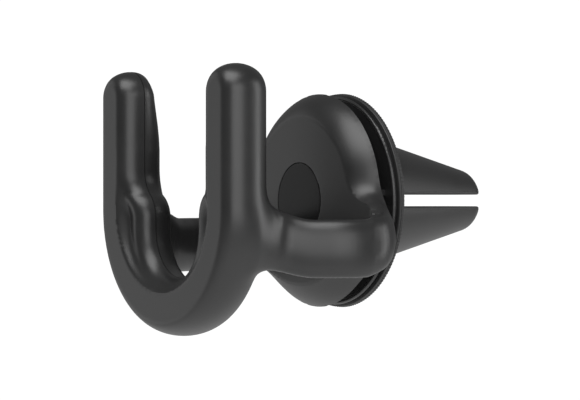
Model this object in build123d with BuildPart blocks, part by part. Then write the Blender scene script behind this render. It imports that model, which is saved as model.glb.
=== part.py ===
from build123d import *
import os
from math import cos, pi, radians, sin

# Car phone mount: a U-shaped cradle for a phone's grip, carried on two curved
# arms by a domed head. The head swivels on a housing whose dial opens and
# closes two half-cone jaws over a vent blade.
#
# Frame: the origin is on the swivel axis, in the plane of the floor of the jaw tracks,
# 1.3 mm behind the dial's rear face.
# +Y points into the vent, -Y towards the phone, +Z up, X = 0 is the mirror plane.

# ---------------------------------------------------------------- fork
FORK_FRONT = -45.3
FORK_DEPTH = 10.1
FORK_BACK = FORK_FRONT + FORK_DEPTH
FORK_SEAM = FORK_FRONT + FORK_DEPTH / 2
FORK_HALF_WIDTH = 25.5
FORK_ARC_Z = -1.5
TIP_RADIUS = 5.5
TIP_Z = 21.0
GAP_HALF = FORK_HALF_WIDTH - 2 * TIP_RADIUS
SEAT_RADIUS = 10.0
SEAT_Z = -5.6
SHOULDER_TOP_Z = 4.5
SHOULDER_FOOT_Z = -3.1
FORK_ROUNDING = 3.2
LINER_WALL = 1.6

# ---------------------------------------------------------------- arms
ARM_BOTTOM = -15.05
ARM_HEIGHT = 11.3
ARM_WALL = 4.7
ARM_X = 29.4
ARM_NECK_X = 21.9
ARM_NECK_Y = -30.8
ARM_SHOULDER_Y = -19.2
ARM_BENDS = (8.0, 14.0, 4.7)
ARM_ROUNDING = 2.0

# ---------------------------------------------------------------- head
HEAD_FACE = -12.0
HEAD_RIM = -7.3
HEAD_FACE_RADIUS = 17.3
HEAD_RADIUS = 22.05
HEAD_CROWN = 0.55
HEAD_WALL = 2.2
HEAD_BOSS_RADIUS = 8.6
HEAD_BOSS_BACK = -4.2
HEAD_RIB_COUNT = 8
HEAD_RIB_WALL = 1.2
HEAD_RIB_END = 19.0
HEAD_RIB_BACK = -7.6

# ---------------------------------------------------------------- centre cap
CAP_RADIUS = 7.8
CAP_WALL = 0.8
CAP_SKIRT_RADIUS = 6.9
CAP_SKIRT_WALL = 0.7
CAP_SKIRT_DEPTH = 0.8

# ---------------------------------------------------------------- swivel stack
WELL_RADIUS = 7.0
WELL_FLOOR = -8.4
BUSH_RADIUS = 5.6
HUB_RADIUS = 4.6
HUB_FRONT = -8.2
RUNNING_GAP = 0.05
FRICTION_WASHER_WALL = 0.5
RETAINER_WALL = 0.5
RETAINER_RADIUS = 6.5
SPRING_RADIUS = 4.4
SPRING_WALL = 0.3
SPRING_RISE = 0.3
SCREW_HEAD_RADIUS = 3.0
SCREW_HEAD_HEIGHT = 0.8
SCREW_RADIUS = 1.45
SCREW_END = -4.6
SOCKET_WIDTH = 1.6
SOCKET_DEPTH = 0.5
INSERT_RADIUS = 2.6
INSERT_BORE = 1.5
INSERT_FRONT = -8.1
INSERT_BACK = -4.2
THRUST_WASHER_RADIUS = 8.4
THRUST_WASHER_WALL = 0.5

# ---------------------------------------------------------------- guide plate
PLATE_FRONT = -3.6
PLATE_BACK = -2.6
PLATE_RADIUS = 21.2
BEAD_RADIUS = 0.4
BEAD_Y = -3.4
CHEEK_START = 10.0
CHEEK_END = 18.4
CHEEK_WALL = 1.2
CHEEK_HALF_GAP = 1.0
CHEEK_TOP = -6.6
SPIGOT_RADIUS = 6.3

# ---------------------------------------------------------------- dial
DIAL_FRONT = -2.5
DIAL_BACK = -1.3
DIAL_RADIUS = 21.2
GRIP_RADIUS = 22.2
GRIP_CHAMFER = 0.25
JAW_TRAVEL_PER_RADIAN = 1.84
DIAL_CLOSE = 20
DIAL_OPEN = 36
SCROLL_HALF_WIDTH = 1.0
SCROLL_END_PLAY = 1
WINDOW_HALF_ANGLE = 46
WINDOW_HALF_WIDTH = 2.2

# ---------------------------------------------------------------- rear cover
COVER_FRONT = -1.2
COVER_STEP = -0.2
COVER_BACK = 2.0
COVER_RADIUS = 19.5
COVER_BOSS_RADIUS = 16.7
TRACK_FLOOR = 0.0
TRACK_HALF_WIDTH = 6.08
TRACK_LOW = 3.7
TRACK_HIGH = 13.9
JAW_WINDOW_HALF_WIDTH = 4.1
POST_X = 14.7
POST_RADIUS = 1.8
COVER_SCREW_RADIUS = 0.9
COVER_SCREW_HEAD_RADIUS = 1.6
COVER_SCREW_HEAD_SEAT = 1.0
COVER_SCREW_END = -3.2

# ---------------------------------------------------------------- jaws
JAW_GAP_HALF = 1.23
JAW_FRONT = 2.3
JAW_TIP = 32.2
JAW_ROOT_RADIUS = 13.79
JAW_TAPER = 0.267
JAW_TIP_ROUNDING = 3.0
JAW_PAD_WALL = 0.55
JAW_PAD_FRONT = 4.0
NECK_HALF_WIDTH = 4.0
FOOT_HALF_WIDTH = 6.0
FOOT_FRONT = -1.15
FOOT_BACK = -0.1
FOOT_LOW = 4.6
FOOT_HIGH = 12.4
PIN_Z = 10.2
PIN_RADIUS = 0.9
PIN_FRONT = -2.45
PIN_BACK = 3.4

os.makedirs("parts", exist_ok=True)


def across(y):
    """The plane square to the swivel axis at y, drawn as (X, Z); it faces -Y."""
    return Plane.XZ.offset(-y)


def on_circle(radius, angle):
    """A point in (X, Z), with the angle in degrees from +Z towards +X."""
    return (radius * sin(radians(angle)), radius * cos(radians(angle)))


def save(piece, name):
    piece.part.label = name
    export_step(piece.part, "parts/" + name + ".step")


# ================================================================ cradle
# The fork, the two arms and the head are one moulding. The fork's outline is
# a U with a narrower round seat at its foot, and an S-shaped shoulder between.
SHOULDER_MIDDLE = ((GAP_HALF + SEAT_RADIUS) / 2, (SHOULDER_TOP_Z + SHOULDER_FOOT_Z) / 2)

with BuildSketch(Plane.XY) as fork_outline:
    with BuildLine():
        Line((GAP_HALF, SHOULDER_TOP_Z), (GAP_HALF, TIP_Z))
        ThreePointArc(
            (GAP_HALF, TIP_Z),
            (FORK_HALF_WIDTH - TIP_RADIUS, TIP_Z + TIP_RADIUS),
            (FORK_HALF_WIDTH, TIP_Z),
        )
        Line((FORK_HALF_WIDTH, TIP_Z), (FORK_HALF_WIDTH, FORK_ARC_Z))
        RadiusArc((FORK_HALF_WIDTH, FORK_ARC_Z), (0, FORK_ARC_Z - FORK_HALF_WIDTH), FORK_HALF_WIDTH)
        Line((0, FORK_ARC_Z - FORK_HALF_WIDTH), (0, SEAT_Z - SEAT_RADIUS))
        RadiusArc((0, SEAT_Z - SEAT_RADIUS), (SEAT_RADIUS, SEAT_Z), -SEAT_RADIUS)
        Line((SEAT_RADIUS, SEAT_Z), (SEAT_RADIUS, SHOULDER_FOOT_Z))
        lower_bend = TangentArc(
            (SEAT_RADIUS, SHOULDER_FOOT_Z), SHOULDER_MIDDLE, tangent=(0, 1)
        )
        TangentArc(SHOULDER_MIDDLE, (GAP_HALF, SHOULDER_TOP_Z), tangent=lower_bend % 1)
    make_face()
    mirror(about=Plane.YZ)

# The strip of the outline, one liner thick, that faces the gap.
with BuildSketch(Plane.XY) as liner_strip:
    with BuildLine():
        top_z = TIP_Z + TIP_RADIUS
        Line((0, top_z), (FORK_HALF_WIDTH - TIP_RADIUS, top_z))
        ThreePointArc(
            (FORK_HALF_WIDTH - TIP_RADIUS, top_z),
            (
                FORK_HALF_WIDTH - TIP_RADIUS - TIP_RADIUS * sin(pi / 4),
                TIP_Z + TIP_RADIUS * cos(pi / 4),
            ),
            (GAP_HALF, TIP_Z),
        )
        Line((GAP_HALF, TIP_Z), (GAP_HALF, SHOULDER_TOP_Z))
        upper_bend = TangentArc((GAP_HALF, SHOULDER_TOP_Z), SHOULDER_MIDDLE, tangent=(0, -1))
        TangentArc(SHOULDER_MIDDLE, (SEAT_RADIUS, SHOULDER_FOOT_Z), tangent=upper_bend % 1)
        Line((SEAT_RADIUS, SHOULDER_FOOT_Z), (SEAT_RADIUS, SEAT_Z))
        RadiusArc((SEAT_RADIUS, SEAT_Z), (0, SEAT_Z - SEAT_RADIUS), SEAT_RADIUS)
        Line((0, SEAT_Z - SEAT_RADIUS), (0, top_z))
    make_face()
    mirror(about=Plane.YZ)
    offset(amount=LINER_WALL, kind=Kind.ARC)
    add(fork_outline.sketch, mode=Mode.INTERSECT)

with BuildPart() as fork_blank:
    with BuildSketch(across(FORK_BACK)):
        add(fork_outline.sketch)
    extrude(amount=FORK_DEPTH)
    front_and_back = (
        fork_blank.faces().filter_by(Axis.Y).edges()
    )
    fillet(front_and_back, radius=FORK_ROUNDING)

with BuildPart() as liner_zone:
    with BuildSketch(across(FORK_BACK)):
        add(liner_strip.sketch)
    extrude(amount=FORK_BACK - FORK_SEAM)

with BuildPart() as cradle_liner:
    add(fork_blank.part)
    add(liner_zone.part, mode=Mode.INTERSECT)
save(cradle_liner, "cradle_liner")

with BuildPart() as arm:
    with BuildSketch(Plane.XY.offset(ARM_BOTTOM)):
        with BuildLine():
            FilletPolyline(
                (ARM_NECK_X, FORK_BACK - ARM_WALL / 2),
                (ARM_NECK_X, ARM_NECK_Y),
                (ARM_X, ARM_SHOULDER_Y),
                (ARM_X, HEAD_RIM - ARM_WALL / 2),
                (HEAD_FACE_RADIUS, HEAD_RIM - ARM_WALL / 2),
                radius=ARM_BENDS,
            )
        trace(line_width=ARM_WALL)
    extrude(amount=ARM_HEIGHT)
    fillet(arm.faces().filter_by(Axis.Z).edges(), radius=ARM_ROUNDING)

with BuildPart() as cradle:
    with BuildSketch(Plane.XY):
        with BuildLine():
            Line((0, HEAD_FACE), (HEAD_FACE_RADIUS, HEAD_FACE))
            SagittaArc((HEAD_FACE_RADIUS, HEAD_FACE), (HEAD_RADIUS, HEAD_RIM), -HEAD_CROWN)
            Line((HEAD_RADIUS, HEAD_RIM), (0, HEAD_RIM))
            Line((0, HEAD_RIM), (0, HEAD_FACE))
        make_face()
    revolve(axis=Axis.Y)
    add(fork_blank.part)
    add(arm.part)
    add(arm.part.mirror(Plane.YZ))
    add(liner_zone.part, mode=Mode.SUBTRACT)
    # The dished inside of the head.
    with BuildSketch(Plane.XY):
        with BuildLine():
            floor_y = HEAD_FACE + HEAD_WALL
            mouth_radius = HEAD_RADIUS - HEAD_WALL
            floor_radius = HEAD_FACE_RADIUS - HEAD_WALL / 2
            Line((0, HEAD_RIM), (mouth_radius, HEAD_RIM))
            Line((mouth_radius, HEAD_RIM), (floor_radius, floor_y))
            Line((floor_radius, floor_y), (0, floor_y))
            Line((0, floor_y), (0, HEAD_RIM))
        make_face()
    revolve(axis=Axis.Y, mode=Mode.SUBTRACT)
    # Stiffening ribs and the boss that holds the bush.
    with BuildSketch(across(HEAD_RIB_BACK)):
        rib_middle = (HEAD_BOSS_RADIUS + HEAD_RIB_END) / 2
        with PolarLocations(rib_middle, HEAD_RIB_COUNT, start_angle=22.5):
            Rectangle(HEAD_RIB_END - HEAD_BOSS_RADIUS + 0.4, HEAD_RIB_WALL)
    extrude(amount=HEAD_RIB_BACK - floor_y + 0.3)
    with BuildSketch(across(HEAD_BOSS_BACK)):
        Circle(HEAD_BOSS_RADIUS)
    extrude(amount=HEAD_BOSS_BACK - floor_y)
    # The cap's seat, the screw's well and the bush's bore, from the front.
    with BuildSketch(across(HEAD_FACE + CAP_WALL)):
        Circle(CAP_RADIUS + 0.02)
    extrude(amount=CAP_WALL, mode=Mode.SUBTRACT)
    with BuildSketch(across(WELL_FLOOR)):
        Circle(WELL_RADIUS)
    extrude(amount=WELL_FLOOR - HEAD_FACE, mode=Mode.SUBTRACT)
    with BuildSketch(across(HEAD_BOSS_BACK)):
        Circle(BUSH_RADIUS)
    extrude(amount=HEAD_BOSS_BACK - WELL_FLOOR, mode=Mode.SUBTRACT)
save(cradle, "cradle")

with BuildPart() as centre_cap:
    with BuildSketch(across(HEAD_FACE + CAP_WALL)):
        Circle(CAP_RADIUS)
    extrude(amount=CAP_WALL)
    with BuildSketch(across(HEAD_FACE + CAP_WALL + CAP_SKIRT_DEPTH)):
        Circle(CAP_SKIRT_RADIUS)
        Circle(CAP_SKIRT_RADIUS - CAP_SKIRT_WALL, mode=Mode.SUBTRACT)
    extrude(amount=CAP_SKIRT_DEPTH)
    fillet(centre_cap.faces().sort_by(Axis.Y)[0].edges(), radius=0.3)
save(centre_cap, "centre_cap")

with BuildPart() as swivel_bush:
    with BuildSketch(across(HEAD_BOSS_BACK)):
        Circle(BUSH_RADIUS)
        Circle(HUB_RADIUS + RUNNING_GAP, mode=Mode.SUBTRACT)
    extrude(amount=HEAD_BOSS_BACK - WELL_FLOOR)
save(swivel_bush, "swivel_bush")

with BuildPart() as friction_washer:
    with BuildSketch(across(WELL_FLOOR)):
        Circle(WELL_RADIUS - 0.1)
        Circle(HUB_RADIUS + 0.2, mode=Mode.SUBTRACT)
    extrude(amount=FRICTION_WASHER_WALL)
save(friction_washer, "friction_washer")

# ================================================================ swivel screw stack
retainer_back = WELL_FLOOR - FRICTION_WASHER_WALL - RUNNING_GAP
spring_back = retainer_back - RETAINER_WALL
screw_seat = spring_back - SPRING_WALL - SPRING_RISE

with BuildPart() as retaining_washer:
    with BuildSketch(across(retainer_back)):
        Circle(RETAINER_RADIUS)
        Circle(SCREW_RADIUS + 0.1, mode=Mode.SUBTRACT)
    extrude(amount=RETAINER_WALL)
save(retaining_washer, "retaining_washer")

# A coned disc spring: its outer edge rests on the washer, its eye on the head.
with BuildPart() as disc_spring:
    with BuildSketch(Plane.XY):
        with BuildLine():
            Polyline(
                (SPRING_RADIUS, spring_back),
                (SPRING_RADIUS, spring_back - SPRING_WALL),
                (SCREW_RADIUS + 0.15, screw_seat),
                (SCREW_RADIUS + 0.15, screw_seat + SPRING_WALL),
                close=True,
            )
        make_face()
    revolve(axis=Axis.Y)
save(disc_spring, "disc_spring")

with BuildPart() as swivel_screw:
    with BuildSketch(across(screw_seat)):
        Circle(SCREW_HEAD_RADIUS)
    extrude(amount=SCREW_HEAD_HEIGHT)
    fillet(swivel_screw.faces().sort_by(Axis.Y)[0].edges(), radius=0.3)
    with BuildSketch(across(SCREW_END)):
        Circle(SCREW_RADIUS)
    extrude(amount=SCREW_END - screw_seat)
    with BuildSketch(across(screw_seat - SCREW_HEAD_HEIGHT + SOCKET_DEPTH)):
        RegularPolygon(SOCKET_WIDTH / 2, 6, major_radius=False)
    extrude(amount=SOCKET_DEPTH, mode=Mode.SUBTRACT)
save(swivel_screw, "swivel_screw")

with BuildPart() as threaded_insert:
    with BuildSketch(across(INSERT_BACK)):
        Circle(INSERT_RADIUS)
        Circle(INSERT_BORE, mode=Mode.SUBTRACT)
    extrude(amount=INSERT_BACK - INSERT_FRONT)
save(threaded_insert, "threaded_insert")

with BuildPart() as thrust_washer:
    with BuildSketch(across(PLATE_FRONT)):
        Circle(THRUST_WASHER_RADIUS)
        Circle(HUB_RADIUS + 0.1, mode=Mode.SUBTRACT)
    extrude(amount=THRUST_WASHER_WALL)
save(thrust_washer, "thrust_washer")

# ================================================================ guide plate
# The housing's front half: the swivel hub in front, the dial's spigot and the
# two screw posts behind, and a bead round its edge.
with BuildPart() as guide_plate:
    with BuildSketch(across(PLATE_BACK)):
        Circle(PLATE_RADIUS)
    extrude(amount=PLATE_BACK - PLATE_FRONT)
    with BuildSketch(Plane.XY):
        with Locations((PLATE_RADIUS, BEAD_Y)):
            Circle(BEAD_RADIUS)
    revolve(axis=Axis.Y)
    with BuildSketch(across(PLATE_FRONT)):
        Circle(HUB_RADIUS)
    extrude(amount=PLATE_FRONT - HUB_FRONT)
    with BuildSketch(across(DIAL_BACK)):
        Circle(SPIGOT_RADIUS)
        with Locations((POST_X, 0), (-POST_X, 0)):
            Circle(POST_RADIUS)
    extrude(amount=DIAL_BACK - PLATE_BACK)
    with BuildSketch(across(PLATE_FRONT)):
        cheek_x = (CHEEK_START + CHEEK_END) / 2
        cheek_z = CHEEK_HALF_GAP + CHEEK_WALL / 2
        with GridLocations(2 * cheek_x, 2 * cheek_z, 2, 2):
            Rectangle(CHEEK_END - CHEEK_START, CHEEK_WALL)
    extrude(amount=PLATE_FRONT - CHEEK_TOP)
    with BuildSketch(across(INSERT_BACK)):
        Circle(INSERT_RADIUS + 0.01)
    extrude(amount=INSERT_BACK - HUB_FRONT, mode=Mode.SUBTRACT)
    with BuildSketch(across(DIAL_BACK)):
        with Locations((POST_X, 0), (-POST_X, 0)):
            Circle(COVER_SCREW_RADIUS + 0.02)
    extrude(amount=DIAL_BACK - COVER_SCREW_END + 0.1, mode=Mode.SUBTRACT)
save(guide_plate, "guide_plate")

# ================================================================ dial
# Turning the dial by +1 radian about +Y moves both jaw pins out by the travel
# per radian, so each scroll slot is a spiral that grows against the turn.
def scroll_point(angle, side):
    return on_circle(PIN_Z - JAW_TRAVEL_PER_RADIAN * radians(angle) + side, angle)


SCROLL_ANGLES = [
    -DIAL_OPEN - SCROLL_END_PLAY + step * (DIAL_OPEN + DIAL_CLOSE + 2 * SCROLL_END_PLAY) / 6
    for step in range(7)
]

with BuildSketch(Plane.XY) as scroll_slot:
    with BuildLine():
        Spline(*[scroll_point(a, SCROLL_HALF_WIDTH) for a in SCROLL_ANGLES])
        Spline(*[scroll_point(a, -SCROLL_HALF_WIDTH) for a in SCROLL_ANGLES])
        for end_angle in (SCROLL_ANGLES[0], SCROLL_ANGLES[-1]):
            Line(
                scroll_point(end_angle, SCROLL_HALF_WIDTH),
                scroll_point(end_angle, -SCROLL_HALF_WIDTH),
            )
    make_face()
    with Locations(scroll_point(SCROLL_ANGLES[0], 0), scroll_point(SCROLL_ANGLES[-1], 0)):
        Circle(SCROLL_HALF_WIDTH)

with BuildPart() as dial:
    with BuildSketch(across(DIAL_BACK)):
        Circle(DIAL_RADIUS)
        Circle(SPIGOT_RADIUS + 0.08, mode=Mode.SUBTRACT)
        add(scroll_slot.sketch, mode=Mode.SUBTRACT)
        add(scroll_slot.sketch.rotate(Axis.Z, 180), mode=Mode.SUBTRACT)
        for side_angle in (0, 180):
            with BuildLine(mode=Mode.PRIVATE) as window_arc:
                CenterArc((0, 0), POST_X, side_angle - WINDOW_HALF_ANGLE, 2 * WINDOW_HALF_ANGLE)
            SlotArc(window_arc.edge(), 2 * WINDOW_HALF_WIDTH, mode=Mode.SUBTRACT)
    extrude(amount=DIAL_BACK - DIAL_FRONT)
save(dial, "dial")

with BuildPart() as dial_grip_ring:
    with BuildSketch(across(DIAL_BACK)):
        Circle(GRIP_RADIUS)
        Circle(DIAL_RADIUS, mode=Mode.SUBTRACT)
    extrude(amount=DIAL_BACK - DIAL_FRONT)
    outer_edges = dial_grip_ring.edges().filter_by(GeomType.CIRCLE).group_by(SortBy.RADIUS)[-1]
    chamfer(outer_edges, length=GRIP_CHAMFER)
save(dial_grip_ring, "dial_grip_ring")

# ================================================================ rear cover
track_z = (TRACK_LOW + TRACK_HIGH) / 2
track_length = TRACK_HIGH - TRACK_LOW

with BuildPart() as rear_cover:
    with BuildSketch(across(COVER_STEP)):
        Circle(COVER_RADIUS)
    extrude(amount=COVER_STEP - COVER_FRONT)
    with BuildSketch(across(COVER_BACK)):
        Circle(COVER_BOSS_RADIUS)
    extrude(amount=COVER_BACK - COVER_STEP)
    fillet(rear_cover.faces().sort_by(Axis.Y)[-1].edges(), radius=0.8)
    # The feet slide in two tracks, and the necks pass out through windows.
    with BuildSketch(across(TRACK_FLOOR)):
        with GridLocations(0, 2 * track_z, 1, 2):
            Rectangle(2 * TRACK_HALF_WIDTH, track_length)
    extrude(amount=TRACK_FLOOR - COVER_FRONT, mode=Mode.SUBTRACT)
    with BuildSketch(across(COVER_BACK)):
        with GridLocations(0, 2 * track_z, 1, 2):
            Rectangle(2 * JAW_WINDOW_HALF_WIDTH, track_length)
    extrude(amount=COVER_BACK - TRACK_FLOOR, mode=Mode.SUBTRACT)
    with BuildSketch(across(COVER_BACK)):
        with Locations((POST_X, 0), (-POST_X, 0)):
            Circle(COVER_SCREW_HEAD_RADIUS + 0.05)
    extrude(amount=COVER_BACK - COVER_SCREW_HEAD_SEAT, mode=Mode.SUBTRACT)
    with BuildSketch(across(COVER_SCREW_HEAD_SEAT)):
        with Locations((POST_X, 0), (-POST_X, 0)):
            Circle(COVER_SCREW_RADIUS + 0.05)
    extrude(amount=COVER_SCREW_HEAD_SEAT - COVER_FRONT, mode=Mode.SUBTRACT)
save(rear_cover, "rear_cover")

with BuildPart() as cover_screws:
    with BuildSketch(across(COVER_BACK - 0.1)):
        with Locations((POST_X, 0), (-POST_X, 0)):
            Circle(COVER_SCREW_HEAD_RADIUS)
    extrude(amount=COVER_BACK - 0.1 - COVER_SCREW_HEAD_SEAT)
    with BuildSketch(across(COVER_SCREW_HEAD_SEAT)):
        with Locations((POST_X, 0), (-POST_X, 0)):
            Circle(COVER_SCREW_RADIUS)
    extrude(amount=COVER_SCREW_HEAD_SEAT - COVER_SCREW_END)
    with BuildSketch(across(COVER_BACK - 0.1)):
        with Locations((POST_X, 0), (-POST_X, 0)):
            Rectangle(1.7, 0.4)
            Rectangle(0.4, 1.7)
    extrude(amount=0.5, mode=Mode.SUBTRACT)
save(cover_screws, "cover_screws")

# ================================================================ jaws
# Each jaw is half of a blunt cone, faced with a soft pad. Its neck goes through
# the cover to a sliding foot, and a pin in the foot follows the scroll slot.
foot_z = (FOOT_LOW + FOOT_HIGH) / 2
foot_length = FOOT_HIGH - FOOT_LOW
tip_radius = JAW_ROOT_RADIUS - JAW_TAPER * (JAW_TIP - JAW_FRONT)

with BuildPart() as cone:
    with BuildSketch(Plane.XY):
        with BuildLine():
            Polyline(
                (0, JAW_FRONT),
                (JAW_ROOT_RADIUS, JAW_FRONT),
                (tip_radius, JAW_TIP),
                (0, JAW_TIP),
                close=True,
            )
        make_face()
    revolve(axis=Axis.Y)
    fillet(cone.faces().sort_by(Axis.Y)[-1].edges(), radius=JAW_TIP_ROUNDING)

for jaw_name, side in (("upper", 1), ("lower", -1)):
    blade_top = 2 * JAW_ROOT_RADIUS
    pad_z = side * (JAW_GAP_HALF + JAW_PAD_WALL / 2)
    with BuildPart() as jaw_pad:
        add(cone.part)
        with BuildSketch(Plane.XY.offset(pad_z - JAW_PAD_WALL / 2)):
            with Locations((0, (JAW_PAD_FRONT + JAW_TIP) / 2)):
                Rectangle(2 * blade_top, JAW_TIP - JAW_PAD_FRONT)
        extrude(amount=JAW_PAD_WALL, mode=Mode.INTERSECT)
    save(jaw_pad, jaw_name + "_jaw_pad")

    with BuildPart() as jaw:
        add(cone.part)
        with BuildSketch(Plane.XY.offset(side * JAW_GAP_HALF)):
            with Locations((0, (JAW_FRONT + JAW_TIP) / 2)):
                Rectangle(2 * blade_top, 2 * JAW_TIP)
        extrude(amount=side * blade_top, mode=Mode.INTERSECT)
        add(jaw_pad.part, mode=Mode.SUBTRACT)
        with BuildSketch(across(JAW_FRONT)):
            with Locations((0, side * foot_z)):
                Rectangle(2 * NECK_HALF_WIDTH, foot_length)
        extrude(amount=JAW_FRONT - FOOT_BACK)
        with BuildSketch(across(FOOT_BACK)):
            with Locations((0, side * foot_z)):
                Rectangle(2 * FOOT_HALF_WIDTH, foot_length)
        extrude(amount=FOOT_BACK - FOOT_FRONT)
        with BuildSketch(across(PIN_BACK)):
            with Locations((0, side * PIN_Z)):
                Circle(PIN_RADIUS)
        extrude(amount=PIN_BACK - FOOT_FRONT, mode=Mode.SUBTRACT)
    save(jaw, jaw_name + "_jaw")

    with BuildPart() as follower_pin:
        with BuildSketch(across(PIN_BACK)):
            with Locations((0, side * PIN_Z)):
                Circle(PIN_RADIUS)
        extrude(amount=PIN_BACK - PIN_FRONT)
        chamfer(follower_pin.faces().sort_by(Axis.Y)[0].edges(), length=0.2)
    save(follower_pin, jaw_name + "_follower_pin")
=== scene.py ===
from math import atan2, cos, hypot, pi, radians, sin

import bmesh
import bpy
import numpy as np
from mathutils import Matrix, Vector


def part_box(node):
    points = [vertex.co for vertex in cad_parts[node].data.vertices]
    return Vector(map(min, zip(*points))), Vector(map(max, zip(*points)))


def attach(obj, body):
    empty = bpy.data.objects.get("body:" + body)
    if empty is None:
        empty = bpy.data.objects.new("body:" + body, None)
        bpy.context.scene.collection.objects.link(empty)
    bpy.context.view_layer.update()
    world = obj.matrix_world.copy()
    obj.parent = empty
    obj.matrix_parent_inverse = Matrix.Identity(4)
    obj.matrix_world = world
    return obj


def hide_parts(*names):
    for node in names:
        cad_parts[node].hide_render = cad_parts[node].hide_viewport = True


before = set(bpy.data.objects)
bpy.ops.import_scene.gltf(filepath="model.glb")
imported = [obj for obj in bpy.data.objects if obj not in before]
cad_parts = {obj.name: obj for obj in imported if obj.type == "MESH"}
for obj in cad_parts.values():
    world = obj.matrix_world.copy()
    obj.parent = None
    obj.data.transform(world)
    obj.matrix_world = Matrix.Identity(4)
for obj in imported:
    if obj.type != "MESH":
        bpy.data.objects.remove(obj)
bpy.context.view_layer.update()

# A car vent mount in black moulded plastic: a U-shaped cradle on two bowed arms
# and a domed head, in front of a dial housing with two half-cone jaws.
# Lengths are millimetres, but in the studio, and in a mesh once it is written, metres.
MM = 0.001


def node_box(node):
    """A CAD node's lowest and highest corners, in millimetres."""
    low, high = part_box(node)
    return [value / MM for value in low], [value / MM for value in high]


# ================================================================ sizes
cradle_low, cradle_high = node_box("cradle")
liner_low, liner_high = node_box("cradle_liner")
cap_low, cap_high = node_box("centre_cap")
ring_low, ring_high = node_box("dial_grip_ring")
jaw_low, jaw_high = node_box("upper_jaw")
pad_low, pad_high = node_box("upper_jaw_pad")

# fork
FORK_FRONT = cradle_low[1]
FORK_SEAM = liner_low[1]
FORK_HALF_DEPTH = FORK_SEAM - FORK_FRONT
TIP_RADIUS = 5.5
LEAST_FLANK = 0.5
FORK_HALF_WIDTH = 25.5
FORK_ARC_Z = cradle_low[2] + FORK_HALF_WIDTH
TIP_Z = cradle_high[2] - TIP_RADIUS
UPRIGHT_X = FORK_HALF_WIDTH - TIP_RADIUS
GAP_HALF = FORK_HALF_WIDTH - 2 * TIP_RADIUS
SEAT_RADIUS = 10.0
SEAT_Z = -5.6
SHOULDER_TOP_Z = 6.2
SHOULDER_FOOT_Z = -3.8
FLAT_OUTER_RADIUS = 22.2
FLAT_OUTER_Z = -1.9
FLAT_INNER_RADIUS = 17.7
FLAT_INNER_Z = -0.8
SEAT_CROWN = 2.6
SEAT_PROUD = 3.5
SEAT_FALL = (10.0, 4.3)
TIP_TAPER = 1.7
TIP_TAPER_FROM = 2.0
TIP_TAPER_WIDTH = 5.0
SEAT_CHAMFER = 0.75
SEAT_CHAMFER_FADE = 1.5
SEAT_BLEND = 2.0
SEAT_FADE = 1.0
TUBE_BLEND = 0.2
STEEPEST_SHOULDER = 0.88
LINER_WALL = 1.6
SEAM_GAP = 0.07

# arms
ARM_BOTTOM = -15.05
ARM_TOP = -3.75
ARM_WALL = 4.7
ARM_X = cradle_high[0] - ARM_WALL / 2
ARM_NECK_X = 21.9
ARM_NECK_Y = -30.8
ARM_SHOULDER_Y = -19.2
ARM_BENDS = (8.0, 14.0, 4.7)
ARC_POINTS = 9
ARM_SQUARENESS = 2.1
ARM_LEAST_REACH = 0.05
ARM_NECK_LENGTH = 13.0
ARM_NECK_LIFT = 2.3
ARM_NECK_RISE = 3.2
ARM_ELBOW_LIFT = (21.0, 16.0, 4.5)
ARM_ELBOW_RISE = (23.0, 15.0, 3.2)
ROOT_X = 22.5
ROOT_SPLAY = 0.6
ROOT_Z = -7.1
ROOT_HALF_HEIGHT = 5.4
ROOT_ROUND = 2.0
ROOT_BLEND = 8.0
ARM_FORK_BLEND = 5.5
ARM_HEAD_BLEND = 7.5

# head
HEAD_FACE = cap_low[1]
HEAD_RIM = -7.3
HEAD_FACE_RADIUS = 17.3
HEAD_RADIUS = 22.05
HEAD_CROWN = 0.55
HEAD_WALL = 2.2
HEAD_BOSS_RADIUS = 8.6
HEAD_BOSS_BACK = -4.2
HEAD_RIB_COUNT = 8
HEAD_RIB_WALL = 1.2
HEAD_RIB_BACK = -7.6
CAP_RADIUS = cap_high[0]
CAP_WALL = 0.8
CAP_CLEARANCE = 0.05
WELL_RADIUS = 7.0
WELL_FLOOR = -8.4
BUSH_RADIUS = 5.6

# jaws
JAW_GAP_HALF = jaw_low[2]
JAW_FRONT = 2.3
JAW_TIP = jaw_high[1]
JAW_ROOT_RADIUS = jaw_high[2]
JAW_TAPER = 0.267
JAW_TIP_ROUNDING = 3.0
JAW_EDGE_ROUNDING = 0.5
JAW_NOSE = 1.9
JAW_PAD_WALL = 0.55
JAW_PAD_FRONT = pad_low[1]
JAW_NECK_Z = 8.5
JAW_NECK_HALF_HEIGHT = 3.9
JAW_NECK_HALF_WIDTH = 4.0
JAW_NECK_FRONT = -0.1
JAW_NECK_OVERLAP = 0.5
JAW_FOOT_HALF_WIDTH = 6.0
JAW_FOOT_Y = -0.625
JAW_FOOT_HALF_DEPTH = 0.525
PIN_Z = 10.2
PIN_RADIUS = 0.92
PIN_BACK = 3.4
PAD_GROOVE_PITCH = 2.0
PAD_GROOVE_RADIUS = 0.42
PAD_GROOVE_SINK = 0.15
PAD_GROOVE_HALF_LENGTH = 4.6
PAD_GROOVE_TAPER = 0.05
PAD_GROOVE_TIP_MARGIN = 2.6

# grip ring
KNURL_ROOM = 0.1
RING_OUTER = ring_high[0] - KNURL_ROOM
RING_INNER = node_box("dial")[1][0]
RING_EDGE = 0.15
RING_GROOVE_Y = ring_low[1] + 0.38 * (ring_high[1] - ring_low[1])
RING_GROOVE_HALF_WIDTH = 0.1
RING_GROOVE_DEPTH = 0.12
RING_SIDES = 180
KNURL_TEETH = 180
KNURL_SINK = 0.02
KNURL_RADIUS = RING_OUTER - KNURL_SINK
KNURL_MIDDLE = 0.28 * ring_low[1] + 0.72 * ring_high[1]
KNURL_SIZES = {"Radius": KNURL_RADIUS, "Width": 0.12, "Tall": 0.05, "Long": 0.5}
TOOTH_SIDES = 6

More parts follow.
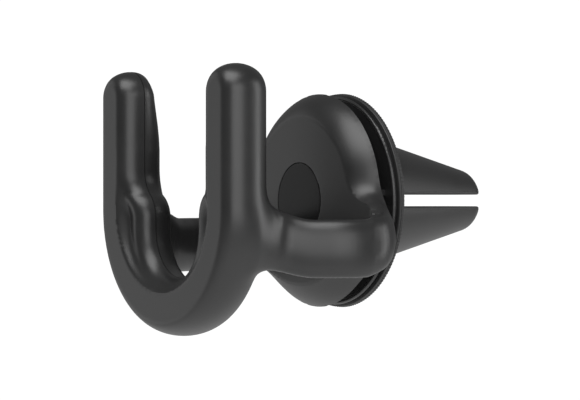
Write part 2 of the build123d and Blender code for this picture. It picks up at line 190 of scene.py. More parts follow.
# skinning: grid steps, and how each grid cell's point is found
CRADLE_STEP = 0.5
LINER_STEP = 0.35
JAW_STEP = 0.45
PAD_STEP = JAW_STEP / 2
EDGE_SEARCHES = 5
SEARCH_MARGIN = 0.05
PULL_TO_MIDDLE = 0.06
FARTHEST_MOVE = 0.7
CREASE = radians(32)


# ================================================================ fields
# A field is negative inside the plastic and positive outside, in millimetres or
# roughly so. These turn a share of the fork's section into about millimetres.
TUBE_SCALE = 3.8
SEAT_FRONT_SCALE = 3
SEAT_REAR_SCALE = 4


def blend_union(one, other, width):
    """Both shapes, with the corner between them filled over the given width."""
    reach = np.maximum(width - np.abs(one - other), 0) / width
    return np.minimum(one, other) - reach**3 * width / 6


def blend_cut(one, other, width):
    """What both shapes share, with the edge between them eased."""
    return -blend_union(-one, -other, width)


def stadium(x, z, radius, centre_z):
    """A U's round foot with straight sides above it."""
    return np.hypot(x, np.minimum(z - centre_z, 0)) - radius


def gap_outline(x, z):
    """The gap between the uprights: a wide slot, a shoulder and a round seat."""
    drop = SHOULDER_TOP_Z - SHOULDER_FOOT_Z
    step = GAP_HALF - SEAT_RADIUS
    bend = (drop**2 + step**2) / (4 * step)
    middle = (SHOULDER_TOP_Z + SHOULDER_FOOT_Z) / 2
    upper = GAP_HALF - bend + np.sqrt(np.clip(bend**2 - (z - SHOULDER_TOP_Z) ** 2, 0, None))
    lower = SEAT_RADIUS + bend - np.sqrt(np.clip(bend**2 - (z - SHOULDER_FOOT_Z) ** 2, 0, None))
    half = np.where(z > middle, upper, lower)
    half = np.where(z > SHOULDER_TOP_Z, GAP_HALF, np.where(z < SHOULDER_FOOT_Z, SEAT_RADIUS, half))
    off_end = np.minimum(np.abs(z - SHOULDER_TOP_Z), np.abs(z - SHOULDER_FOOT_Z))
    on_shoulder = (z < SHOULDER_TOP_Z) & (z > SHOULDER_FOOT_Z)
    steep = np.where(on_shoulder, np.clip(off_end / bend, 0, STEEPEST_SHOULDER), 0)
    side = (np.abs(x) - half) * np.sqrt(1 - steep**2)
    return np.where(z > SEAT_Z, side, np.hypot(x, z - SEAT_Z) - SEAT_RADIUS)


def ease(share):
    """0 to 1 with a level start and end."""
    share = np.clip(share, 0, 1)
    return share * share * (3 - 2 * share)


def fork_tube(x, y, z, share):
    """The U itself: its section is a flat with a quarter ellipse on each side.

    Round the seat, on the side of the gap, the ellipse is flattened towards a
    chamfer. Near the tips the rear thins out on the inner side.
    """
    above = np.maximum(z - TIP_Z, 0)
    flat_x = (FLAT_OUTER_RADIUS + FLAT_INNER_RADIUS) / 2
    flat = np.maximum(
        stadium(x, z, FLAT_OUTER_RADIUS, FLAT_OUTER_Z), -stadium(x, z, FLAT_INNER_RADIUS, FLAT_INNER_Z)
    )
    flat = np.where(z > 0, np.hypot(np.abs(x) - flat_x, above) - FLAT_OUTER_RADIUS + flat_x, flat)
    wide = np.maximum(stadium(x, z, FORK_HALF_WIDTH, FORK_ARC_Z), -stadium(x, z, GAP_HALF, FORK_ARC_Z))
    wide = np.where(z > 0, np.hypot(np.abs(x) - UPRIGHT_X, above) - TIP_RADIUS, wide)
    out = np.maximum(flat, 0) / np.maximum(flat - wide, LEAST_FLANK)
    inner = ease((UPRIGHT_X + TIP_TAPER_FROM - np.abs(x)) / TIP_TAPER_WIDTH)
    taper = TIP_TAPER * inner * ease((z - TIP_Z / 2) / (FORK_HALF_WIDTH - TIP_Z / 2))
    back = np.maximum(y - FORK_SEAM, 0) / (FORK_HALF_DEPTH - taper)
    depth = np.maximum(FORK_SEAM - y, 0) / FORK_HALF_DEPTH + back
    gap_side = ease((flat_x - stadium(x, z, 0, FLAT_OUTER_Z)) / SEAT_CHAMFER_FADE) * (y < FORK_SEAM)
    power = 2 - SEAT_CHAMFER * share * gap_side
    return ((out**power + depth**power) ** (1 / power) - 1) * TUBE_SCALE


def fork_seat(x, y, z, share):
    """The bead round the seat; above the shoulder it dies away into the tube."""
    tube_round = FLAT_INNER_RADIUS - GAP_HALF
    into_wall = gap_outline(x, z)
    crown = tube_round + (SEAT_CROWN - tube_round) * share
    proud = FORK_HALF_DEPTH + (SEAT_PROUD - FORK_HALF_DEPTH) * share
    fall = SEAT_FALL[0] + (SEAT_FALL[1] - SEAT_FALL[0]) * share
    out = np.where(into_wall < crown, (crown - into_wall) / crown, (into_wall - crown) / fall)
    front = (np.hypot(out, np.maximum(FORK_SEAM - y, 0) / proud) - 1) * SEAT_FRONT_SCALE
    out = np.maximum(tube_round - into_wall, 0) / tube_round
    rear = (np.hypot(out, np.maximum(y - FORK_SEAM, 0) / FORK_HALF_DEPTH) - 1) * SEAT_REAR_SCALE
    reach = np.maximum(stadium(x, z, UPRIGHT_X, FORK_ARC_Z), z - TIP_Z / 2)
    return np.maximum(np.where(y < FORK_SEAM, front, rear), reach)


def fork(x, y, z):
    """The U and its seat; the share is 0 on the uprights and 1 round the seat."""
    back = FORK_SEAM + FORK_HALF_DEPTH
    seat_top = SHOULDER_TOP_Z + SEAT_FADE
    share = ease((seat_top - z) / (seat_top - SHOULDER_FOOT_Z))
    width = TUBE_BLEND + SEAT_BLEND * share
    body = blend_union(fork_tube(x, y, z, share), fork_seat(x, y, z, share), width)
    return np.maximum(np.maximum(body, y - back), FORK_FRONT - y)


def liner_zone(x, y, z):
    """The strip of the fork that faces the gap, behind its widest section."""
    tip = np.hypot(np.abs(x) - UPRIGHT_X, np.maximum(z - TIP_Z, 0))
    upright = np.maximum(TIP_RADIUS - tip - LINER_WALL, np.abs(x) - UPRIGHT_X)
    into_wall = np.where(z > SHOULDER_TOP_Z, upright, gap_outline(x, z) - LINER_WALL)
    behind = np.maximum(FORK_SEAM - y, y - ARM_NECK_Y)
    return np.maximum(into_wall, behind)


def rounded_path(corners, radii):
    """Points along a polyline whose corners are arcs."""
    corners = [np.array(c, float) for c in corners]
    points = [corners[0]]
    for before, corner, after, radius in zip(corners, corners[1:], corners[2:], radii):
        back = (before - corner) / np.linalg.norm(before - corner)
        ahead = (after - corner) / np.linalg.norm(after - corner)
        half_turn = (pi - np.arccos(np.clip(back @ ahead, -1, 1))) / 2
        run = radius * np.tan(half_turn)
        middle = (back + ahead) / np.linalg.norm(back + ahead)
        centre = corner + middle * radius / cos(half_turn)
        first = corner + back * run - centre
        last = corner + ahead * run - centre
        start = atan2(first[1], first[0])
        sweep = (atan2(last[1], last[0]) - start + pi) % (2 * pi) - pi
        for share in np.linspace(0, 1, ARC_POINTS):
            angle = start + sweep * share
            points.append(centre + radius * np.array([cos(angle), sin(angle)]))
    points.append(corners[-1])
    return points


ARM_PATH = rounded_path(
    [
        (ARM_NECK_X, 2 * FORK_SEAM - FORK_FRONT - ARM_WALL / 2),
        (ARM_NECK_X, ARM_NECK_Y),
        (ARM_X, ARM_SHOULDER_Y),
        (ARM_X, HEAD_RIM - ARM_WALL / 2),
        (HEAD_FACE_RADIUS, HEAD_RIM - ARM_WALL / 2),
    ],
    ARM_BENDS,
)


def along_arm(x, y):
    """Distance from the arm's centre line in plan, and how far along it that is."""
    x = np.abs(x)
    nearest = np.full(np.broadcast(x, y).shape, np.inf)
    along = np.zeros_like(nearest)
    walked = 0.0
    for start, end in zip(ARM_PATH, ARM_PATH[1:]):
        run = end - start
        length = np.linalg.norm(run)
        share = np.clip(((x - start[0]) * run[0] + (y - start[1]) * run[1]) / length**2, 0, 1)
        off = np.hypot(x - start[0] - share * run[0], y - start[1] - share * run[1])
        closer = off < nearest
        nearest = np.where(closer, off, nearest)
        along = np.where(closer, walked + share * length, along)
        walked += length
    return nearest, along


def arms(x, y, z):
    """The arm's oval section, and its width in plan alone.

    It stands higher at the fork, and again where it turns in to the head.
    """
    off, along = along_arm(x, y)
    neck = ease(1 - along / ARM_NECK_LENGTH)
    lift_start, lift_length, lift = ARM_ELBOW_LIFT
    rise_start, rise_length, rise = ARM_ELBOW_RISE
    low = ARM_BOTTOM + ARM_NECK_LIFT * neck + lift * ease((along - lift_start) / lift_length)
    high = ARM_TOP + ARM_NECK_RISE * neck + rise * ease((along - rise_start) / rise_length)
    up = z - (low + high) / 2
    side_share = np.abs(off) / (ARM_WALL / 2)
    up_share = np.abs(up) / ((high - low) / 2)
    reach = (side_share**ARM_SQUARENESS + up_share**ARM_SQUARENESS) ** (1 / ARM_SQUARENESS)
    reach = np.maximum(reach, ARM_LEAST_REACH)
    return np.hypot(off, up) * (1 - 1 / reach), off - ARM_WALL / 2


def crowned_edge(radius, y):
    """The head's edge: a shallow arc from the face's border to the rim."""
    across = HEAD_RADIUS - HEAD_FACE_RADIUS
    deep = HEAD_RIM - HEAD_FACE
    chord = hypot(across, deep)
    bend = (chord**2 / 4 + HEAD_CROWN**2) / (2 * HEAD_CROWN)
    centre_radius = (HEAD_FACE_RADIUS + HEAD_RADIUS) / 2 - (bend - HEAD_CROWN) * deep / chord
    centre_y = (HEAD_FACE + HEAD_RIM) / 2 + (bend - HEAD_CROWN) * across / chord
    return np.hypot(np.maximum(radius - centre_radius, 0), y - centre_y) - bend


def arm_root(x, y, z):
    """The web that carries the head's flat face out to the arm's inner wall."""
    past_side = np.abs(x) - ROOT_X - ROOT_SPLAY * (HEAD_RIM - y) + ROOT_ROUND
    past_top = np.abs(z - ROOT_Z) - ROOT_HALF_HEIGHT + ROOT_ROUND
    corner = np.hypot(np.maximum(past_side, 0), np.maximum(past_top, 0))
    return corner + np.minimum(np.maximum(past_side, past_top), 0) - ROOT_ROUND


def head_hollow(x, y, z):
    """The dished inside, with its stiffening ribs left standing."""
    radius = np.hypot(x, z)
    floor = HEAD_FACE + HEAD_WALL
    mouth = HEAD_RADIUS - HEAD_WALL
    slope = (mouth - HEAD_FACE_RADIUS + HEAD_WALL / 2) / (HEAD_RIM - floor)
    wall = (radius - mouth - slope * (y - HEAD_RIM)) / hypot(1, slope)
    dish = np.maximum(np.maximum(wall, floor - y), HEAD_BOSS_RADIUS - radius)
    turn = 2 * pi / HEAD_RIB_COUNT
    angle = np.arctan2(z, x) % turn - turn / 2
    rib = np.maximum(np.abs(radius * np.sin(angle)) - HEAD_RIB_WALL / 2, y - HEAD_RIB_BACK)
    return np.maximum(dish, -rib)


def cradle(x, y, z):
    """Fork, arms and head in one, less the hollow, the cap's recess and the liner."""
    radius = np.hypot(x, z)
    arm, arm_plan = arms(x, y, z)
    head = blend_union(crowned_edge(radius, y), arm_root(x, y, z), ROOT_BLEND)
    head = np.maximum(head, HEAD_FACE - y)
    body = blend_union(fork(x, y, z), arm, ARM_FORK_BLEND)
    body = blend_union(body, head, ARM_HEAD_BLEND)
    # The face stays flat where it runs out on to the arms' roots.
    before_face = np.where(y > ARM_NECK_Y, np.minimum(arm_plan, HEAD_FACE - y), -HEAD_RADIUS)
    body = np.maximum(body, before_face)
    body = np.maximum(body, y - HEAD_RIM)
    body = np.maximum(body, -head_hollow(x, y, z))
    boss_y = (WELL_FLOOR + HEAD_BOSS_BACK) / 2
    boss_half_depth = (HEAD_BOSS_BACK - WELL_FLOOR) / 2
    boss = np.maximum(radius - HEAD_BOSS_RADIUS, np.abs(y - boss_y) - boss_half_depth)
    body = np.minimum(body, boss)
    body = np.maximum(body, -np.maximum(radius - CAP_RADIUS - CAP_CLEARANCE, y - HEAD_FACE - CAP_WALL))
    body = np.maximum(body, -np.maximum(radius - WELL_RADIUS, y - WELL_FLOOR))
    body = np.maximum(body, BUSH_RADIUS - radius)
    return np.maximum(body, SEAM_GAP - liner_zone(x, y, z))


def cradle_liner(x, y, z):
    return np.maximum(fork(x, y, z), liner_zone(x, y, z) + SEAM_GAP / 2)


def jaw(x, y, z):
    """Half of a blunt cone above the gap, with its flat edges eased."""
    radius = np.hypot(x, z)
    slope = hypot(1, JAW_TAPER)
    side = (radius - JAW_ROOT_RADIUS + JAW_TAPER * (y - JAW_FRONT)) / slope
    tip = y - JAW_TIP
    cone = np.hypot(np.maximum(side + JAW_TIP_ROUNDING, 0), np.maximum(tip + JAW_TIP_ROUNDING, 0))
    cone = cone + np.minimum(np.maximum(side, tip) + JAW_TIP_ROUNDING, 0) - JAW_TIP_ROUNDING
    facing = JAW_GAP_HALF - z
    nose = np.hypot(np.maximum(facing + JAW_NOSE, 0), np.maximum(tip + JAW_NOSE, 0))
    nose = nose + np.minimum(np.maximum(facing, tip) + JAW_NOSE, 0) - JAW_NOSE
    blade = blend_cut(cone, nose, 2 * JAW_EDGE_ROUNDING)
    return np.maximum(blade, JAW_FRONT - y)


def jaw_blade(x, y, z):
    """The jaw without its pad, on a neck and a wider foot that a pin goes into."""
    pad = np.maximum(z - JAW_GAP_HALF - JAW_PAD_WALL, JAW_PAD_FRONT - y)
    tall = np.abs(z - JAW_NECK_Z) - JAW_NECK_HALF_HEIGHT
    neck = np.maximum(np.abs(x) - JAW_NECK_HALF_WIDTH, tall)
    neck = np.maximum(neck, np.maximum(y - JAW_FRONT - JAW_NECK_OVERLAP, JAW_NECK_FRONT - y))
    foot = np.maximum(np.abs(x) - JAW_FOOT_HALF_WIDTH, tall)
    foot = np.maximum(foot, np.abs(y - JAW_FOOT_Y) - JAW_FOOT_HALF_DEPTH)
    pin = np.maximum(np.hypot(x, z - PIN_Z) - PIN_RADIUS, y - PIN_BACK)
    body = np.minimum(np.maximum(jaw(x, y, z), -pad), np.minimum(neck, foot))
    return np.maximum(body, -pin)


def jaw_pad(x, y, z):
    """The soft facing, with shallow grooves across the blade."""
    facing = np.maximum(z - JAW_GAP_HALF - JAW_PAD_WALL, JAW_PAD_FRONT - y)
    off_groove = (y - JAW_PAD_FRONT) % PAD_GROOVE_PITCH - PAD_GROOVE_PITCH / 2
    groove = np.hypot(off_groove, z - JAW_GAP_HALF + PAD_GROOVE_SINK) - PAD_GROOVE_RADIUS
    off_middle = np.abs(x) - PAD_GROOVE_HALF_LENGTH + PAD_GROOVE_TAPER * y
    groove = np.maximum(groove, np.maximum(off_middle, y - JAW_TIP + PAD_GROOVE_TIP_MARGIN))
    return np.maximum(np.maximum(jaw(x, y, z), facing), -groove)


# ================================================================ skinning a field
def slope_of(field, points, reach=0.01):
    """The direction in which the field rises, one unit vector for each point."""
    x, y, z = points.T
    rise = [
        field(x + dx, y + dy, z + dz) - field(x - dx, y - dy, z - dz)
        for dx, dy, dz in np.eye(3) * reach
    ]
    rise = np.stack(rise, 1)
    return rise / np.maximum(np.linalg.norm(rise, axis=1, keepdims=True), 1e-9)


def skin(name, field, low, high, step):
    """A mesh on the field's zero surface, with sharp edges kept and none open.

    Each grid cell that the surface crosses gets one point, placed where the
    tangent planes at its crossings meet, and each crossed edge gets one quad.
    Where two walls lie within one cell, the mesh may touch itself.
    """
    axes = [np.arange(start - step, end + 2 * step, step) for start, end in zip(low, high)]
    shape = [len(a) for a in axes]
    grid = field(axes[0][:, None, None], axes[1][None, :, None], axes[2][None, None, :])
    inside = np.broadcast_to(grid, shape) < 0
    grid = np.broadcast_to(grid, shape)
    cells = shape[0] * shape[1] * shape[2]
    weight = np.zeros(cells)
    middle = np.zeros((cells, 3))
    square = np.zeros((cells, 3, 3))
    pull = np.zeros((cells, 3))
    faces = []
    for axis in range(3):
        near = [slice(None)] * 3
        far = [slice(None)] * 3
        near[axis] = slice(0, -1)
        far[axis] = slice(1, None)
        crossed = inside[tuple(near)] != inside[tuple(far)]
        index = np.argwhere(crossed)
        start = np.stack([axes[k][index[:, k]] for k in range(3)], 1)
        value_a = grid[tuple(near)][crossed]
        value_b = grid[tuple(far)][crossed]
        share_a = np.zeros(len(index))
        share_b = np.ones(len(index))
        for _ in range(EDGE_SEARCHES):
            guess = np.clip(value_a / (value_a - value_b), SEARCH_MARGIN, 1 - SEARCH_MARGIN)
            share = share_a + (share_b - share_a) * guess
            spot = start.copy()
            spot[:, axis] += share * step
            value = field(*spot.T)
            same = (value < 0) == (value_a < 0)
            share_a = np.where(same, share, share_a)
            value_a = np.where(same, value, value_a)
            share_b = np.where(same, share_b, share)
            value_b = np.where(same, value_b, value)
        normal = slope_of(field, spot)
        one, other = (axis + 1) % 3, (axis + 2) % 3
        ring = []
        for back_one, back_other in ((0, 0), (1, 0), (1, 1), (0, 1)):
            cell = index.copy()
            cell[:, one] -= back_one
            cell[:, other] -= back_other
            flat = np.ravel_multi_index(cell.T, shape)
            ring.append(flat)
            np.add.at(weight, flat, 1)
            np.add.at(middle, flat, spot)
            np.add.at(square, flat, normal[:, :, None] * normal[:, None, :])
            np.add.at(pull, flat, normal * np.sum(normal * spot, 1, keepdims=True))
        quad = np.stack(ring, 1)
        outward = inside[tuple(near)][crossed]
        quad[~outward] = quad[~outward][:, ::-1]
        faces.append(quad)
    used = np.flatnonzero(weight)
    middle = middle[used] / weight[used][:, None]
    square = square[used]
    pull = pull[used] - np.einsum("nij,nj->ni", square, middle)
    held = PULL_TO_MIDDLE * weight[used][:, None, None] * np.eye(3)
    move = np.linalg.solve(square + held, pull[:, :, None])[:, :, 0]
    points = middle + np.clip(move, -FARTHEST_MOVE * step, FARTHEST_MOVE * step)
    number = np.zeros(cells, int)
    number[used] = np.arange(len(used))
    faces = number[np.concatenate(faces)]
    mesh = bpy.data.meshes.new(name)
    mesh.from_pydata((points * MM).tolist(), [], faces.tolist())
    return finish_mesh(name, mesh)


def finish_mesh(name, mesh):
    """An object with smooth faces, except across edges sharper than CREASE."""
    mesh.validate()
    mesh.polygons.foreach_set("use_smooth", [True] * len(mesh.polygons))
    mesh.set_sharp_from_angle(angle=CREASE)
    thing = bpy.data.objects.new(name, mesh)
    bpy.context.collection.objects.link(thing)
    return thing


def lathe(name, outline, sides):
    """A closed ring turned about the swivel axis from (radius, y) points."""
    mesh = bpy.data.meshes.new(name)
    work = bmesh.new()
    angles = [2 * pi * k / sides for k in range(sides)]
    rings = [
        [work.verts.new((radius * MM * sin(angle), y * MM, radius * MM * cos(angle))) for angle in angles]
        for radius, y in outline
    ]
    for first, second in zip(rings, rings[1:] + rings[:1]):
        for k in range(sides):
            j = (k + 1) % sides
            work.faces.new((first[k], first[j], second[j], second[k]))
    bmesh.ops.recalc_face_normals(work, faces=work.faces)
    work.to_mesh(mesh)
    work.free()
    return finish_mesh(name, mesh)


# ================================================================ pieces
def mirrored(name, source):
    """The lower jaw's copy of an upper jaw's piece."""
    mesh = source.data.copy()
    mesh.name = name
    work = bmesh.new()
    work.from_mesh(mesh)
    bmesh.ops.scale(work, vec=(1, 1, -1), verts=work.verts)
    bmesh.ops.reverse_faces(work, faces=work.faces)
    work.to_mesh(mesh)
    work.free()
    thing = bpy.data.objects.new(name, mesh)
    bpy.context.collection.objects.link(thing)
    return thing


cradle_body = skin("cradle_body", cradle, cradle_low, cradle_high, CRADLE_STEP)
liner_body = skin("liner_body", cradle_liner, liner_low, liner_high, LINER_STEP)
upper_blade = skin("upper_blade", jaw_blade, jaw_low, jaw_high, JAW_STEP)
upper_facing = skin("upper_facing", jaw_pad, pad_low, pad_high, PAD_STEP)
lower_blade = mirrored("lower_blade", upper_blade)
lower_facing = mirrored("lower_facing", upper_facing)


def knurl_tree():
    """Geometry Nodes that stand a small six-sided tooth at each step round a band."""
    tree = bpy.data.node_groups.new("knurl", "GeometryNodeTree")
    tree.interface.new_socket("Band", in_out="INPUT", socket_type="NodeSocketGeometry")
    for label in KNURL_SIZES:
        tree.interface.new_socket(label, in_out="INPUT", socket_type="NodeSocketFloat")
    tree.interface.new_socket("Teeth", in_out="INPUT", socket_type="NodeSocketInt")
    tree.interface.new_socket("Finish", in_out="INPUT", socket_type="NodeSocketMaterial")
    tree.interface.new_socket("Ring", in_out="OUTPUT", socket_type="NodeSocketGeometry")
    node = {}
    kinds = {
        "given": "NodeGroupInput", "result": "NodeGroupOutput",
        "circle": "GeometryNodeMeshCircle", "turn": "GeometryNodeTransform",
        "tooth": "GeometryNodeMeshCylinder", "stretch": "GeometryNodeTransform",
        "size": "ShaderNodeCombineXYZ", "place": "GeometryNodeInstanceOnPoints",
        "join": "GeometryNodeJoinGeometry", "real": "GeometryNodeRealizeInstances",
        "colour": "GeometryNodeSetMaterial", "index": "GeometryNodeInputIndex",
        "step": "ShaderNodeMath", "angle": "ShaderNodeMath", "spin": "ShaderNodeCombineXYZ",
    }
    for key, kind in kinds.items():
        node[key] = tree.nodes.new(kind)
    given = node["given"].outputs
    link = tree.links.new
    link(given["Radius"], node["circle"].inputs["Radius"])
    link(given["Teeth"], node["circle"].inputs["Vertices"])
    link(node["circle"].outputs[0], node["turn"].inputs["Geometry"])
    node["turn"].inputs["Rotation"].default_value = (radians(90), 0, 0)
    node["turn"].inputs["Translation"].default_value = (0, KNURL_MIDDLE * MM, 0)
    node["tooth"].inputs["Vertices"].default_value = TOOTH_SIDES
    node["tooth"].inputs["Radius"].default_value = 1.0
    node["tooth"].inputs["Depth"].default_value = 1.0
    link(node["tooth"].outputs[0], node["stretch"].inputs["Geometry"])
    node["stretch"].inputs["Rotation"].default_value = (radians(90), 0, 0)
    link(given["Width"], node["size"].inputs[0])
    link(given["Tall"], node["size"].inputs[1])
    link(given["Long"], node["size"].inputs[2])
    link(node["size"].outputs[0], node["stretch"].inputs["Scale"])
    node["step"].operation = "DIVIDE"
    node["angle"].operation = "MULTIPLY"
    node["angle"].inputs[1].default_value = -2 * pi
    link(node["index"].outputs[0], node["step"].inputs[0])
    link(given["Teeth"], node["step"].inputs[1])
    link(node["step"].outputs[0], node["angle"].inputs[0])
    link(node["angle"].outputs[0], node["spin"].inputs[1])
    link(node["turn"].outputs[0], node["place"].inputs["Points"])
    link(node["stretch"].outputs[0], node["place"].inputs["Instance"])
    link(node["spin"].outputs[0], node["place"].inputs["Rotation"])
    link(given["Band"], node["join"].inputs[0])
    link(node["place"].outputs[0], node["join"].inputs[0])
    link(node["join"].outputs[0], node["real"].inputs[0])
    link(node["real"].outputs[0], node["colour"].inputs["Geometry"])
    link(given["Finish"], node["colour"].inputs["Material"])
    link(node["colour"].outputs[0], node["result"].inputs[0])
    return tree


def knurled_ring(finish):
    """The dial's rim: a turned band with a groove, and fine teeth round its rear half."""
    front, back = ring_low[1], ring_high[1]
    outline = [
        (RING_INNER, front),
        (RING_OUTER - RING_EDGE, front),
        (RING_OUTER, front + RING_EDGE),
        (RING_OUTER, RING_GROOVE_Y - RING_GROOVE_HALF_WIDTH),
        (RING_OUTER - RING_GROOVE_DEPTH, RING_GROOVE_Y),
        (RING_OUTER, RING_GROOVE_Y + RING_GROOVE_HALF_WIDTH),
        (RING_OUTER, back - RING_EDGE),
        (RING_OUTER - RING_EDGE, back),
        (RING_INNER, back),
    ]
    band = lathe("band", outline, RING_SIDES)
    tree = knurl_tree()
    modifier = band.modifiers.new("knurl", "NODES")
    modifier.node_group = tree
    names = {item.name: item.identifier for item in tree.interface.items_tree if item.in_out == "INPUT"}
    for label, value in KNURL_SIZES.items():
        modifier[names[label]] = value * MM
    modifier[names["Teeth"]] = KNURL_TEETH
    modifier[names["Finish"]] = finish
    seen = band.evaluated_get(bpy.context.evaluated_depsgraph_get())
    mesh = bpy.data.meshes.new_from_object(seen)
    bpy.data.objects.remove(band)
    return finish_mesh("grip_ring", mesh)


# ================================================================ finishes
def moulded_finish(name, shade, roughness, grain=0.02, specular=0.5):
    """A plastic, rubber or fibre: one shade, a little cloudy, with a fine grain."""
    finish = bpy.data.materials.new(name)
    finish.use_nodes = True
    nodes = finish.node_tree.nodes
    links = finish.node_tree.links
    shader = nodes["Principled BSDF"]
    shader.inputs["Roughness"].default_value = roughness
    shader.inputs["Specular IOR Level"].default_value = specular
    place = nodes.new("ShaderNodeTexCoord")
    speckle = nodes.new("ShaderNodeTexNoise")
    speckle.inputs["Scale"].default_value = 9000.0
    speckle.inputs["Detail"].default_value = 3.0
    links.new(place.outputs["Object"], speckle.inputs["Vector"])
    cloud = nodes.new("ShaderNodeTexNoise")
    cloud.inputs["Scale"].default_value = 120.0
    links.new(place.outputs["Object"], cloud.inputs["Vector"])
    tint = nodes.new("ShaderNodeValToRGB")
    for stop, position, tone in zip(tint.color_ramp.elements, (0.3, 0.7), (0.9, 1.1)):
        stop.position = position
        stop.color = (shade * tone, shade * tone, shade * (tone + 0.01), 1)
    links.new(cloud.outputs["Fac"], tint.inputs["Fac"])
    links.new(tint.outputs["Color"], shader.inputs["Base Color"])
    bump = nodes.new("ShaderNodeBump")
    bump.inputs["Strength"].default_value = grain
    bump.inputs["Distance"].default_value = 0.00005
    links.new(speckle.outputs["Fac"], bump.inputs["Height"])
    links.new(bump.outputs["Normal"], shader.inputs["Normal"])
    rough = nodes.new("ShaderNodeMapRange")
    rough.inputs["To Min"].default_value = roughness - 0.04
    rough.inputs["To Max"].default_value = roughness + 0.04
    links.new(cloud.outputs["Fac"], rough.inputs["Value"])
    links.new(rough.outputs["Result"], shader.inputs["Roughness"])
    return finish


moulded = moulded_finish("satin_black", 0.011, 0.36)
housing = moulded_finish("housing_black", 0.012, 0.3)
rubber = moulded_finish("soft_black", 0.014, 0.5, grain=0.1)
gloss = moulded_finish("gloss_black", 0.004, 0.2, grain=0.0, specular=0.15)


def metal(name, colour, roughness, turned=False):
    """Bare metal: fine lathe lines about the swivel axis, or a plain rolled grain."""
    finish = bpy.data.materials.new(name)
    finish.use_nodes = True
    nodes = finish.node_tree.nodes
    links = finish.node_tree.links
    shader = nodes["Principled BSDF"]
    shader.inputs["Metallic"].default_value = 1.0
    place = nodes.new("ShaderNodeTexCoord")
    grain = nodes.new("ShaderNodeTexNoise")
    grain.inputs["Scale"].default_value = 900.0
    grain.inputs["Detail"].default_value = 4.0
    links.new(place.outputs["Object"], grain.inputs["Vector"])
    tint = nodes.new("ShaderNodeValToRGB")
    tint.color_ramp.elements[0].color = tuple(0.8 * c for c in colour) + (1,)
    tint.color_ramp.elements[1].color = tuple(colour) + (1,)
    links.new(grain.outputs["Fac"], tint.inputs["Fac"])
    links.new(tint.outputs["Color"], shader.inputs["Base Color"])
    rough = nodes.new("ShaderNodeMapRange")
    rough.inputs["To Min"].default_value = roughness - 0.08
    rough.inputs["To Max"].default_value = roughness + 0.08
    links.new(grain.outputs["Fac"], rough.inputs["Value"])
    links.new(rough.outputs["Result"], shader.inputs["Roughness"])
    if turned:
        lines = nodes.new("ShaderNodeTexWave")
        lines.wave_type = "RINGS"
        lines.rings_direction = "Y"
        lines.inputs["Scale"].default_value = 1500.0
        links.new(place.outputs["Object"], lines.inputs["Vector"])
        bump = nodes.new("ShaderNodeBump")
        bump.inputs["Strength"].default_value = 0.3
        bump.inputs["Distance"].default_value = 0.00002
        links.new(lines.outputs["Fac"], bump.inputs["Height"])
        links.new(bump.outputs["Normal"], shader.inputs["Normal"])
    return finish


steel = metal("zinc_steel", (0.6, 0.61, 0.63), 0.3, turned=True)
spring_steel = metal("spring_steel", (0.42, 0.42, 0.43), 0.28)
brass = metal("brass", (0.72, 0.5, 0.2), 0.28, turned=True)
acetal = moulded_finish("acetal", 0.55, 0.35, grain=0.05)
fibre = moulded_finish("grey_fibre", 0.05, 0.7, grain=0.4)

grip_ring = knurled_ring(rubber)


def dress(thing, finish):
    """Give the whole piece one finish."""
    thing.data.materials.clear()
    thing.data.materials.append(finish)


def fit(thing, body, nodes, finish):
    """Put a made piece on its body in place of the CAD nodes it stands for."""
    dress(thing, finish)
    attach(thing, body)
    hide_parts(*nodes)


fit(cradle_body, "cradle", ["cradle"], moulded)
fit(liner_body, "cradle", ["cradle_liner"], moulded)
fit(upper_blade, "upper_jaw", ["upper_jaw"], moulded)
fit(lower_blade, "lower_jaw", ["lower_jaw"], moulded)
fit(upper_facing, "upper_jaw", ["upper_jaw_pad"], rubber)
fit(lower_facing, "lower_jaw", ["lower_jaw_pad"], rubber)
fit(grip_ring, "dial", ["dial_grip_ring"], rubber)

carried_over = {
    "centre_cap": gloss, "guide_plate": housing, "dial": housing, "rear_cover": housing,
    "swivel_bush": acetal, "thrust_washer": acetal, "friction_washer": fibre,
    "swivel_screw": steel, "retaining_washer": steel, "cover_screws": steel,
    "disc_spring": spring_steel, "upper_follower_pin": spring_steel,
    "lower_follower_pin": spring_steel, "threaded_insert": brass,
}
for node, finish in carried_over.items():
    dress(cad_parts[node], finish)


# ================================================================ studio
# Lengths in this section are metres.
HEAD_MIDDLE_Y = -0.012


def aim(thing, target):
    """Turn a camera or a lamp to look at the target."""
    thing.rotation_euler = (Vector(target) - thing.location).to_track_quat("-Z", "Y").to_euler()


def bearing(angle, distance, height):
    """A place round the object: the angle is in degrees from -Y towards +X."""
    return Vector((distance * sin(radians(angle)), -distance * cos(radians(angle)), height))


def add_camera():
    """A level view of the head's face; it looks a little to the side of its middle."""
    azimuth = radians(56.0)
    distance = 0.501
    side = 0.00185
    rise = 0.0001
    look_at = Vector((-side * cos(azimuth), HEAD_FACE * MM - side * sin(azimuth), rise))
    data = bpy.data.cameras.new("camera")
    data.lens = 151.0
    data.sensor_width = 36.0
    data.clip_start = 0.01
    camera = bpy.data.objects.new("camera", data)
    bpy.context.collection.objects.link(camera)
    camera.location = look_at + distance * Vector((sin(azimuth), -cos(azimuth), 0.0))
    aim(camera, look_at)
    bpy.context.scene.camera = camera


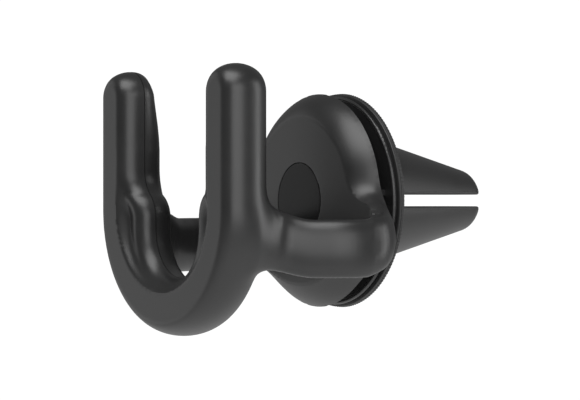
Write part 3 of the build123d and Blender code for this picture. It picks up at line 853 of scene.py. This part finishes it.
def add_light(name, angle, distance, height, width, tall, power):
    """A soft panel that faces the head: places and sizes in metres, power in watts."""
    data = bpy.data.lights.new(name, "AREA")
    data.shape = "RECTANGLE"
    data.size = width
    data.size_y = tall
    data.energy = power
    lamp = bpy.data.objects.new(name, data)
    bpy.context.collection.objects.link(lamp)
    lamp.location = bearing(angle, distance, height)
    aim(lamp, (0, HEAD_MIDDLE_Y, 0))
    lamp.visible_camera = False


def add_floor():
    """A round pale floor, well below the object."""
    mesh = bpy.data.meshes.new("floor")
    reach = 3.5
    drop = -0.35
    sides = 96
    rim = [bearing(360 * k / sides, reach, drop) for k in range(sides)]
    mesh.from_pydata(rim, [], [tuple(range(sides))])
    floor = bpy.data.objects.new("floor", mesh)
    bpy.context.collection.objects.link(floor)
    paint = bpy.data.materials.new("pale_floor")
    paint.use_nodes = True
    shader = paint.node_tree.nodes["Principled BSDF"]
    shader.inputs["Base Color"].default_value = (0.9, 0.9, 0.9, 1)
    shader.inputs["Roughness"].default_value = 0.9
    shader.inputs["Emission Color"].default_value = (1, 1, 1, 1)
    shader.inputs["Emission Strength"].default_value = 0.3
    floor.data.materials.append(paint)


def add_world():
    """White behind the object, and a dim even light from all round."""
    world = bpy.data.worlds.new("studio")
    bpy.context.scene.world = world
    world.use_nodes = True
    nodes = world.node_tree.nodes
    links = world.node_tree.links
    dim = nodes["Background"]
    dim.inputs["Color"].default_value = (1, 1, 1, 1)
    dim.inputs["Strength"].default_value = 0.2
    white = nodes.new("ShaderNodeBackground")
    white.inputs["Color"].default_value = (1, 1, 1, 1)
    white.inputs["Strength"].default_value = 1.05
    path = nodes.new("ShaderNodeLightPath")
    pick = nodes.new("ShaderNodeMixShader")
    links.new(path.outputs["Is Camera Ray"], pick.inputs[0])
    links.new(dim.outputs[0], pick.inputs[1])
    links.new(white.outputs[0], pick.inputs[2])
    links.new(pick.outputs[0], nodes["World Output"].inputs["Surface"])


add_camera()
add_floor()
add_world()
add_light("left_panel", angle=-58, distance=0.7, height=0.1, width=0.5, tall=0.7, power=0.62)
add_light("side_panel", angle=70, distance=0.7, height=0.12, width=0.55, tall=0.5, power=2.5)
add_light("rear_strip", angle=143, distance=0.7, height=0.1, width=0.22, tall=0.6, power=1.7)
add_light("top_panel", angle=35, distance=0.34, height=0.6, width=0.6, tall=0.5, power=4.6)
bpy.context.scene.view_settings.view_transform = "Standard"
